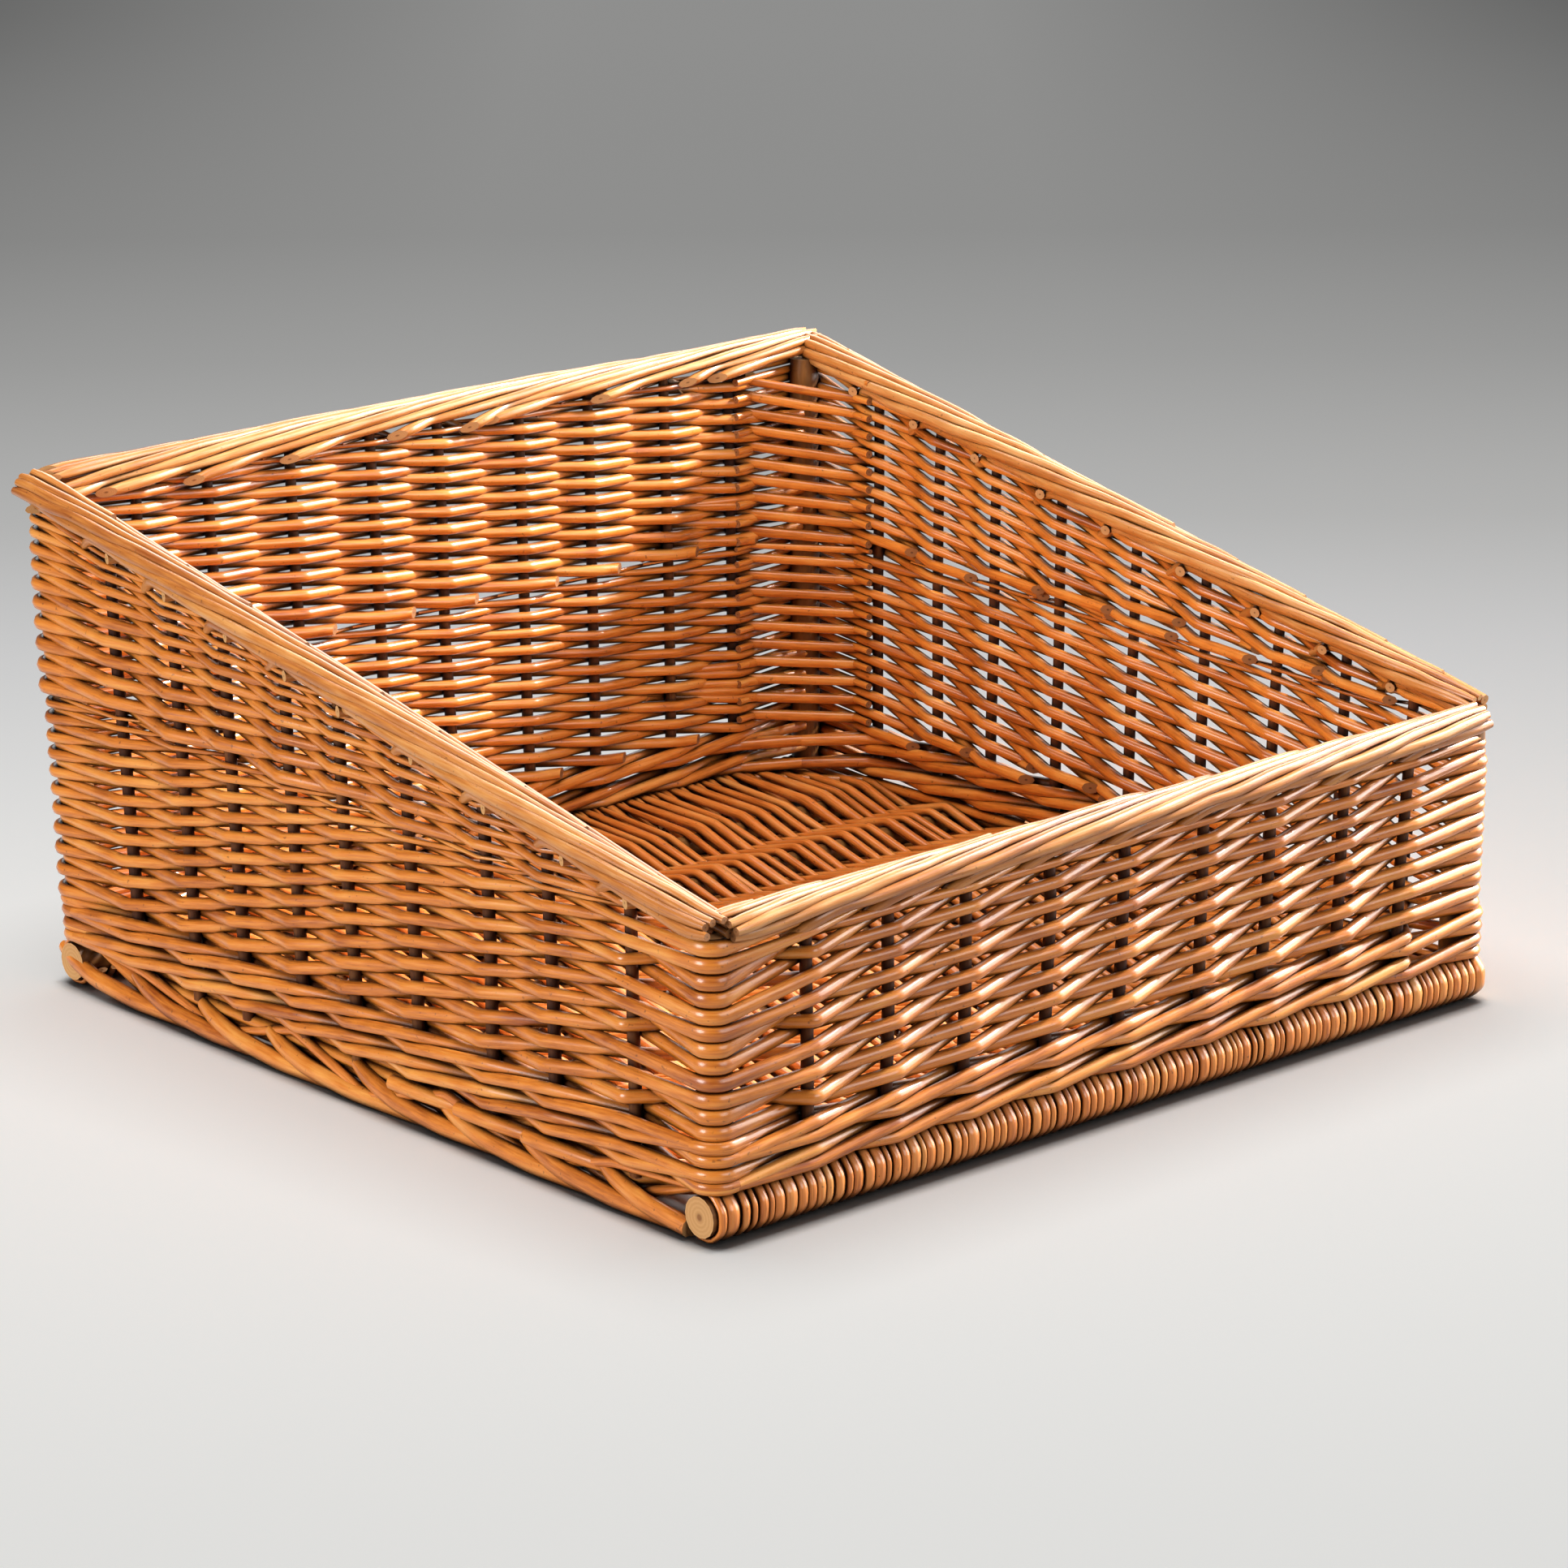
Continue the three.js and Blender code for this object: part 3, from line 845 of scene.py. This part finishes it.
@dataclass
class Border:
    """Rolled border: each stake's top runs along the rim, turns over it and is cut off.

    Rows of a tail or peg are a place along, a place across, a drop and, for a tail, a size.
    """

    walls: Walls
    plan: Plan = PLAN
    wide: float = 6.9
    tall: float = 4.2
    rod_r: float = 2.25
    out: float = 0.8
    samples: tuple[int, int] = (61, 16)
    stray: float = 0.05
    taper: Pair = (1.08, 0.22)
    end_thin: float = 0.7
    end_run: float = 30.0
    foot: Pair = (12.0, 7.0)
    tail: tuple[Row, ...] = ((9.0, 7.6, 1.0, 1.15), (19.0, 8.4, 2.2, 1.2), (28.0, 8.6, 3.8, 1.1))
    tail_cut: float = 1.8
    peg: tuple[Row, ...] = ((3.0, -3.0, 11.5), (1.5, 2.0, 12.0), (0.0, 6.8, 12.5))
    peg_r: float = 2.3
    lays: tuple[Lay, ...] = (Lay(-192.0, 190.5, 1, (-50.0, 130.0), 4.3, (165.0, 205.0)),
                             Lay(-189.0, 195.0, -1, (235.0, 50.0), 4.5, (15.0, -30.0)),
                             Lay(-199.0, 190.0, 1, (-50.0, 215.0), 6.4, ()),
                             Lay(-198.0, 200.0, 1, (-50.0, 130.0), 5.2, (165.0, 205.0)))

    def rope(self, side: Side, u: np.ndarray, turn: np.ndarray, away: object) -> np.ndarray:
        """Points of a rod that lies round the rim's core line at a turn, on a flat oval.

        Args:
            side: The wall.
            u: Places along the wall.
            turn: Angle over the outward way, in radians.
            away: Share of the oval's size.

        Returns:
            The points.
        """
        plan = self.plan
        core = plan.rim(plan.depth_at(side, u)) - self.tall - self.rod_r
        r = plan.stake_line + self.out + away * self.wide * np.cos(turn)
        return plan.place(side, u, r, core + away * self.tall * np.sin(turn))

    def even_turn(self, first: float, last: float, share: np.ndarray) -> np.ndarray:
        """Angles that lie at even lengths along the oval.

        Args:
            first: Angle at share 0, in degrees.
            last: Angle at share 1, in degrees.
            share: Shares of the way.

        Returns:
            Angles in radians.
        """
        angle = np.radians(np.linspace(first, last, 200))
        step = np.hypot(self.wide * np.sin(angle), self.tall * np.cos(angle))
        length = np.cumsum(step) - step[0]
        return np.interp(share * length[-1], length, angle)

    def tails(self, side: Side, bundle: Bundle) -> None:
        """Lay every stake's top along one wall, with starters before the first stake.

        Args:
            side: The wall.
            bundle: Where the rods go.
        """
        plan, rng, lay = self.plan, bundle.rng, self.lays[WALLS.index(side)]
        tail = np.array(self.tail).T
        run = lay.steps * plan.pitch
        for k in range(-math.ceil(lay.steps), plan.stakes + 1):
            first = -plan.post_line + k * plan.pitch + rng.normal(0, 1.5)
            run_k = run + rng.uniform(-5, 9)
            s, coarse = (np.linspace(0, run_k, count) for count in self.samples)
            u = first + s if lay.way > 0 else -first - s
            keep = (u > lay.start + rng.uniform(-1, 2)) & (u < lay.stop + rng.uniform(-3, 2))
            if keep.sum() < 3:
                continue
            share = s / run_k
            turn = self.even_turn(*lay.turn, share)
            turn = turn + np.interp(s, coarse, rng.normal(0, self.stray, len(coarse)))
            away = 1 + np.interp(s, coarse, rng.normal(0, self.stray, len(coarse)))
            away = away + rng.normal(0, 0.06)
            points = self.rope(side, u, turn, away)
            size = self.rod_r * (self.taper[0] - self.taper[1] * share) * rng.uniform(0.94, 1.05)
            inset = np.minimum(u - lay.start, lay.stop - u)
            size = size * np.clip(self.end_thin + inset / self.end_run, self.end_thin, 1.0)
            points, size = points[keep], size[keep]
            if keep[0] and k > 0:
                foot = plan.place(side, u[:1] - lay.way * self.foot[0], plan.stake_line,
                                  points[:1, 2] - self.foot[1])
                points, size = np.concatenate((foot, points)), np.concatenate((size[:1], size))
            if keep[-1] and side is Side.BACK:
                along = u[-1] + tail[0] * rng.uniform(0.55, 1.35)
                z = points[-1, 2] - tail[2] * rng.uniform(0.7, 1.3)
                end = plan.place(side, along, plan.stake_line - tail[1], z)
                points = np.concatenate((points, end))
                size = np.concatenate((size, size[-1] * tail[3]))
            face = self.tail_cut * plan.inward(side) if side is Side.BACK else None
            bundle.add(points, size, face=face)
        for angle in lay.fill:
            u = np.linspace(lay.start + 3, lay.stop - 3, 14)
            turn = np.radians(angle) + rng.normal(0, self.stray, len(u))
            bundle.add(self.rope(side, u, turn, 1.0), self.rod_r)

    def stubs(self, side: Side, bundle: Bundle) -> None:
        """Cut ends that point out under the border, or in on the right wall.

        Args:
            side: The wall.
            bundle: Where the rods go.
        """
        plan, rng, start = self.plan, bundle.rng, WALLS.index(side) * self.walls.per_wall
        ahead, reach, below = np.array(self.peg).T
        for k in range(1, plan.stakes + 1):
            _, u, _ = self.walls.spot(start + k)
            out = 1 if side is Side.LEFT else -1
            along = u + 8 + rng.normal(0, 2) + ahead
            r = plan.stake_line + out * reach
            z = plan.rim(plan.depth_at(side, along)) - below
            bundle.add(plan.place(side, along, r, z), self.peg_r * rng.uniform(0.9, 1.1))

    def build(self, finish: Finishes) -> None:
        """Make the border of each wall.

        Args:
            finish: The basket's finishes.
        """
        for wall, side in enumerate(WALLS):
            bundle = Bundle(f"{side.label}_border", sides=10, spacing=7.0, bend=9.0,
                            seed=40 + wall)
            self.tails(side, bundle)
            # The left and front borders end at the front left corner in dark cut ends: painted
            # shade.
            end = finish.dark_end if side in (Side.LEFT, Side.FRONT) else finish.end
            bundle.build(finish.border, end, "border_rod", [f"{side.label}_border"])
            if side in (Side.LEFT, Side.RIGHT):
                pegs = Bundle(f"{side.label}_border_pegs", sides=10, seed=50 + wall)
                self.stubs(side, pegs)
                pegs.build(finish.border, finish.end, "border_rod", [f"{side.label}_border"])


@dataclass
class Base:
    """Base: sticks from left to right, rods over and under them and round the outer two."""

    plan: Plan = PLAN
    outer_r: float = 8.1
    band: float = 1.2
    inner_r: float = 4.6
    inner: int = 7
    axis_z: float = 10.6
    inner_z: float = 10.8
    line: float = 190.6
    reach: float = 197.0
    turns: Row = (-20.0, -65.0, -110.0, -155.0, -200.0, -245.0, -285.0)
    sway: float = 1.1
    half_width: Pair = (2.0, 0.5)
    width_range: Pair = (1.1, 2.9)
    full: Pair = (0.5, 1.15)
    press: float = 0.9
    inner_reach: float = 185.0
    gaps: Pair = (1.1, 0.15)
    wide_gap_share: float = 0.22

    def sticks(self) -> np.ndarray:
        """Places of all sticks from front to back."""
        return np.linspace(-self.line, self.line, self.inner + 2)

    def pass_path(self, x: float, r: float, first: int, rng: np.random.Generator) -> Rod:
        """Rod from under the front stick round it, over and under, and round the back stick.

        Args:
            x: Place along the sticks.
            r: Half of the rod's width where it goes round as a flat band.
            first: 1 if it passes over the first inner stick and -1 if under.
            rng: Source of the small unevenness.

        Returns:
            Control points, radii and flatness.
        """
        reach = self.outer_r + self.band
        turn, ends = np.radians(self.turns), len(self.turns)
        front = np.stack((-self.line + reach * np.cos(turn), self.axis_z + reach * np.sin(turn)),
                         axis=-1)
        y = self.sticks()[1:-1]
        sign = first * (-1.0) ** np.arange(self.inner)
        broad = self.full[0] * r + self.full[1]
        middle = np.stack((y, self.inner_z + sign * (self.inner_r + self.press * broad)), axis=-1)
        back = front[::-1] * (-1, 1)
        yz = np.concatenate((front, middle, back))
        drift = np.zeros(len(yz))
        drift[ends:-ends] = rng.normal(0, self.sway, self.inner)
        size = np.repeat((r, broad, r), (ends, self.inner, ends))
        points = np.stack((x + drift, yz[:, 0] + self.plan.shift, yz[:, 1]), axis=-1)
        flat = np.repeat((self.band / r, 1.0, self.band / r), (ends, self.inner, ends))
        return points, size, flat

    def build(self, finish: Finishes) -> None:
        """Make the sticks and the rods.

        Args:
            finish: The basket's finishes.
        """
        sticks = Bundle("base_sticks", sides=16, spacing=20.0, seed=60)
        for i, y in enumerate(self.sticks()):
            outer = i in (0, self.inner + 1)
            x = np.linspace(-1, 1, 6) * (self.reach + 1 if outer else self.inner_reach)
            z = np.full(6, self.axis_z if outer else self.inner_z)
            line = np.stack((x, np.full(6, y + self.plan.shift), z), axis=-1)
            sticks.add(line, self.outer_r if outer else self.inner_r)
        sticks.build(finish.stick, finish.end, "willow_stick", ["front_base_stick",
                     "back_base_stick"] + [f"inner_base_stick_{i + 1}" for i in range(self.inner)])
        rng = np.random.default_rng(61)
        halves = [Bundle(f"base_weave_{name}", spacing=9.0, bend=4.0, seed=62 + i, spread=0.1)
                  for i, name in enumerate(("left", "right"))]
        x, first = -self.reach + 0.6, 1
        while x < self.reach - 2.5:
            r = float(np.clip(rng.normal(*self.half_width), *self.width_range))
            x += r
            control, size, flat = self.pass_path(x, r, first, rng)
            halves[0 if x < 0 else 1].add(control, size, EAST, flat)
            x += r + self.gaps[0 if rng.random() < self.wide_gap_share else 1]
            first = -first
        for half in halves:
            half.build(finish.base, finish.end, "willow_rod", ["base_weave"])


@dataclass
class Feet:
    """Side edges of the base: stakes come down under the wale and lie along the edge.

    Each row of the tables is a place along, a place out, a height and a size.
    """

    plan: Plan = PLAN
    thick: float = 3.9
    butts: Row = (18.5, 57.5, 96.5)
    first: float = -196.0
    last: float = 140.0
    step: float = 47.0
    short_of_end: float = 17.0
    lie: tuple[Row, ...] = ((0.0, 0.5, 13.5, 0.75), (9.0, 2.2, 10.5, 0.9), (26.0, 3.6, 6.5, 0.97),
                            (55.0, 3.4, 4.0, 0.97), (95.0, 1.5, 3.9, 0.9), (118.0, -1.0, 5.5, 0.7))
    butt: tuple[Row, ...] = ((0.0, 5.0, 15.0, 3.1), (14.0, 4.2, 14.6, 3.1),
                             (32.0, 1.5, 13.6, 2.8), (48.0, -2.0, 12.5, 2.4))

    def build(self, finish: Finishes) -> None:
        """Make the roll along the left and right edges.

        Args:
            finish: The basket's finishes.
        """
        plan, lie, butt = self.plan, np.array(self.lie).T, np.array(self.butt).T
        for side in (Side.LEFT, Side.RIGHT):
            roll = Bundle(f"{side.label}_edge_roll", sides=10, spacing=6.0, bend=9.0,
                          seed=70 + WALLS.index(side))
            for u in np.arange(self.first, self.last, self.step):
                along = u + roll.rng.normal(0, 5) + lie[0]
                along = np.minimum(along, plan.half - self.short_of_end)
                z = lie[2] + roll.rng.normal(0, 0.3)
                keep = np.concatenate(([True], np.diff(along) > 1.0))
                line = plan.place(side, along, plan.stake_line + lie[1], z)
                roll.add(line[keep], (self.thick * lie[3])[keep], UP, 0.8)
            for u in self.butts:
                line = plan.place(side, u + butt[0], plan.stake_line + butt[1], butt[2])
                roll.add(line, butt[3])
            roll.build(finish.wall, finish.end, "willow_rod", [])


def seat_it(item: bpy.types.Object, axes: tuple[np.ndarray, ...], seat: np.ndarray) -> None:
    """Put a camera or lamp on its seat, turned to its right, up and back axes."""
    matrix = np.eye(4)
    matrix[:3] = np.stack((*axes, seat), axis=-1)
    item.matrix_world = Matrix(matrix.tolist())
    bpy.context.scene.collection.objects.link(item)


@dataclass
class Studio:
    """Pale sweep, soft lights and the camera at the photograph's angle."""

    azimuth: float = -41.13
    elevation: float = 16.304
    roll: float = -0.506
    distance: float = 2.029235
    target: Row = (0.0, PLAN.shift * MM, 0.085)
    lens: float = SENSOR_MM * 6428.068 / FRAME_PX
    shift: Pair = (23.6 / FRAME_PX, 0.25 / FRAME_PX)
    bend_at: float = 2.6
    bend_r: float = 1.5
    # Colours of the sweep from near to far: the darkening is painted falloff of the light.
    tones: tuple[tuple[float, str], ...] = (
        (0.0, "ccccca"), (0.17, "d3d3d1"), (0.33, "bababa"), (0.42, "a8a8a7"),
        (0.56, "9a9a99"), (0.7, "929291"), (1.0, "9c9c9b"))
    # Darker sides far back: painted falloff of the light.
    dusk: str = "404040"
    dusk_share: float = 0.62
    glow: float = 0.66

    def camera(self) -> None:
        """Set the camera: looking back along its azimuth and elevation, turned by its roll."""
        az, el, roll = (math.radians(v) for v in (self.azimuth, self.elevation, self.roll))
        back = np.array((math.sin(az) * math.cos(el), -math.cos(az) * math.cos(el), math.sin(el)))
        right = unit(np.cross(-back, UP))
        up = np.cross(right, -back)
        right2 = math.cos(roll) * right + math.sin(roll) * up
        up2 = -math.sin(roll) * right + math.cos(roll) * up
        data = bpy.data.cameras.new("camera")
        data.lens, data.sensor_width = self.lens, SENSOR_MM
        data.shift_x, data.shift_y = self.shift
        data.clip_end = 30.0
        camera = bpy.data.objects.new("camera", data)
        seat_it(camera, (right2, up2, back), np.array(self.target) + back * self.distance)
        bpy.context.scene.camera = camera

    def sweep(self) -> None:
        """Floor that bends up into a backdrop far behind, with painted falloff: pale below, grey
        above.
        """
        a, far_end = np.linspace(0.1, math.pi / 2, 12), self.bend_at + self.bend_r
        curve = np.stack((self.bend_at + self.bend_r * np.sin(a),
                          self.bend_r - self.bend_r * np.cos(a)), axis=-1)
        profile = np.concatenate((((-6.0, 0.0), (self.bend_at, 0.0)), curve, ((far_end, 6.0),)))
        across = np.array((-7.0, 7.0))
        turn = math.radians(self.azimuth)
        forward = np.array((-math.sin(turn), math.cos(turn)))
        aside = np.array((forward[1], -forward[0]))
        plan = profile[:, :1, None] * forward + across[None, :, None] * aside
        z = np.broadcast_to(profile[:, 1:, None], (len(profile), 2, 1))
        points = np.concatenate((plan, z), axis=-1).reshape(-1, 3)
        i = 2 * np.arange(len(profile) - 1)
        faces = np.stack((i, i + 1, i + 3, i + 2), axis=-1)
        mesh = bpy.data.meshes.new("floor")
        mesh.from_pydata(points.tolist(), [], faces.tolist())
        mesh.polygons.foreach_set("use_smooth", np.ones(len(faces), bool))
        mesh.materials.append(self.paper(forward, aside))
        floor = bpy.data.objects.new("floor", mesh)
        bpy.data.collections["sweep"].objects.link(floor)

    def paper(self, forward: np.ndarray, aside: np.ndarray) -> bpy.types.Material:
        """Matt paper: no gloss, with painted falloff of the light: greyer, and darker at the
        sides, with distance.

        It glows a little to the camera and in reflections. The glow fades out where a rod comes
        close, which paints a dark contact shadow, and is cut off under the basket, where the real
        shadow shows.

        Args:
            forward: Way from the camera to the basket, on the floor.
            aside: Way to the camera's right.

        Returns:
            The material.
        """
        s = Shader("matt_paper_sweep")
        place = s.add("TexCoord")["Object"]
        far, wide = (s.add("VectorMath", DOT, in0=place, in1=(*map(float, way), 0.0))[1]
                     for way in (forward, aside))
        # Painted falloff of the light: greyer with distance and darker at the sides far back.
        share = s.add("MapRange", Value=far, From_Min=-0.5, From_Max=self.bend_at)[0]
        ramp = s.add("ValToRGB", Fac=share)[0]
        stops = ramp.node.color_ramp.elements
        for spot, code in self.tones[1:-1]:
            stops.new(spot).color = linear(code)
        stops[0].color, stops[-1].color = linear(self.tones[0][1]), linear(self.tones[-1][1])
        wide = s.add("Math", SIZE_OF, in0=wide)[0]
        corner = s.add("MapRange", Value=wide, From_Min=0.2, From_Max=0.75,
                       To_Max=self.dusk_share)[0]
        depth = s.add("MapRange", Value=far, From_Min=0.9, From_Max=2.8)[0]
        dusk = s.add("Math", TIMES, in0=corner, in1=depth)[0]
        colour = s.add("Mix", BLEND, in0=dusk, in6=ramp, in7=linear(self.dusk))[2]
        # Painted contact shadow: the glow fades out near rods; under the basket it stops.
        near = s.add("AmbientOcclusion", {"samples": 12}, Distance=12 * MM)["AO"]
        clear = s.add("MapRange", Value=near, From_Min=0.52, From_Max=0.8)[0]
        across = s.add("SeparateXYZ", Vector=s.add("VectorMath", SIZE_OF, in0=place)[0])
        middle = s.add("Math", LARGER, in0=across[0], in1=across[1])[0]
        beyond = s.add("MapRange", Value=middle, From_Min=191 * MM, From_Max=201 * MM)[0]
        ray = s.add("LightPath")
        seen = s.add("Math", LARGER, in0=ray["Is Glossy Ray"], in1=ray["Is Transmission Ray"])[0]
        seen = s.add("Math", LARGER, in0=ray["Is Camera Ray"], in1=seen)[0]
        for share in (clear, beyond, self.glow):
            seen = s.add("Math", TIMES, in0=seen, in1=share)[0]
        skin = s.add("BsdfDiffuse", Color=colour)[0]
        light = s.add("Emission", Color=colour, Strength=seen)[0]
        return s.close(s.add("AddShader", in0=skin, in1=light)[0])

    def lamp(self, name: str, seat: Row, size: Pair, power: float, lights: str = "basket",
             gloss_only: bool = False) -> None:
        """Add a soft box that faces the basket.

        Args:
            name: Name of the lamp.
            seat: Its place.
            size: Width and height.
            power: Watts.
            lights: Collection that it lights, the basket or the sweep.
            gloss_only: Whether it only shows as a reflection in the varnish.
        """
        data = bpy.data.lights.new(name, "AREA")
        data.shape, data.size, data.size_y, data.energy = "RECTANGLE", size[0], size[1], power
        lamp = bpy.data.objects.new(name, data)
        lamp.visible_diffuse = not gloss_only
        lamp.light_linking.receiver_collection = bpy.data.collections[lights]
        back = unit(np.array(seat) - np.array((0.0, 0.0, 0.08)))
        right = unit(np.cross(UP, back))
        seat_it(lamp, (right, np.cross(back, right), back), np.array(seat))

    def build(self) -> None:
        """Set the camera, the sweep, the lamps and the world."""
        for name in ("basket", "sweep"):
            bpy.context.scene.collection.children.link(bpy.data.collections.new(name))
        self.camera()
        self.sweep()
        self.lamp("key_box", (1.45, -0.36, 1.08), (0.26, 0.26), 98.0)
        self.lamp("left_box", (-1.8, 0.1, 0.6), (0.8, 0.8), 29.5)
        self.lamp("front_box", (0.1, -1.8, 0.9), (1.2, 1.0), 18.0)
        self.lamp("over_box", (-0.1, 0.1, 1.8), (1.2, 1.2), 22.0)
        self.lamp("floor_box", (0.0, 0.05, 2.0), (1.3, 1.3), 24.0, "sweep")
        self.lamp("right_panel", (1.2, -0.55, 0.4), (1.0, 0.9), 24.0, gloss_only=True)
        self.lamp("back_panel", (0.9, 0.9, 0.9), (1.0, 1.0), 11.0, gloss_only=True)
        world = bpy.data.worlds.new("studio")
        world.use_nodes = True
        sky = world.node_tree.nodes["Background"].inputs
        sky[0].default_value, sky[1].default_value = linear("ffffff"), 0.1
        bpy.context.scene.world = world
        bpy.context.scene.view_settings.view_transform = "Standard"


def main() -> None:
    """Load the frame and build the basket and the studio."""
    logging.basicConfig(level=logging.INFO, format="%(message)s")
    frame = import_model()
    LOG.info("nodes in the frame: %d", len(frame["nodes"]))
    Studio().build()
    finish = Finishes()
    walls = Walls()
    Base().build(finish)
    walls.build(finish)
    Uprights(walls).build(finish)
    Feet().build(finish)
    Border(walls).build(finish)


if __name__ == "__main__":
    main()
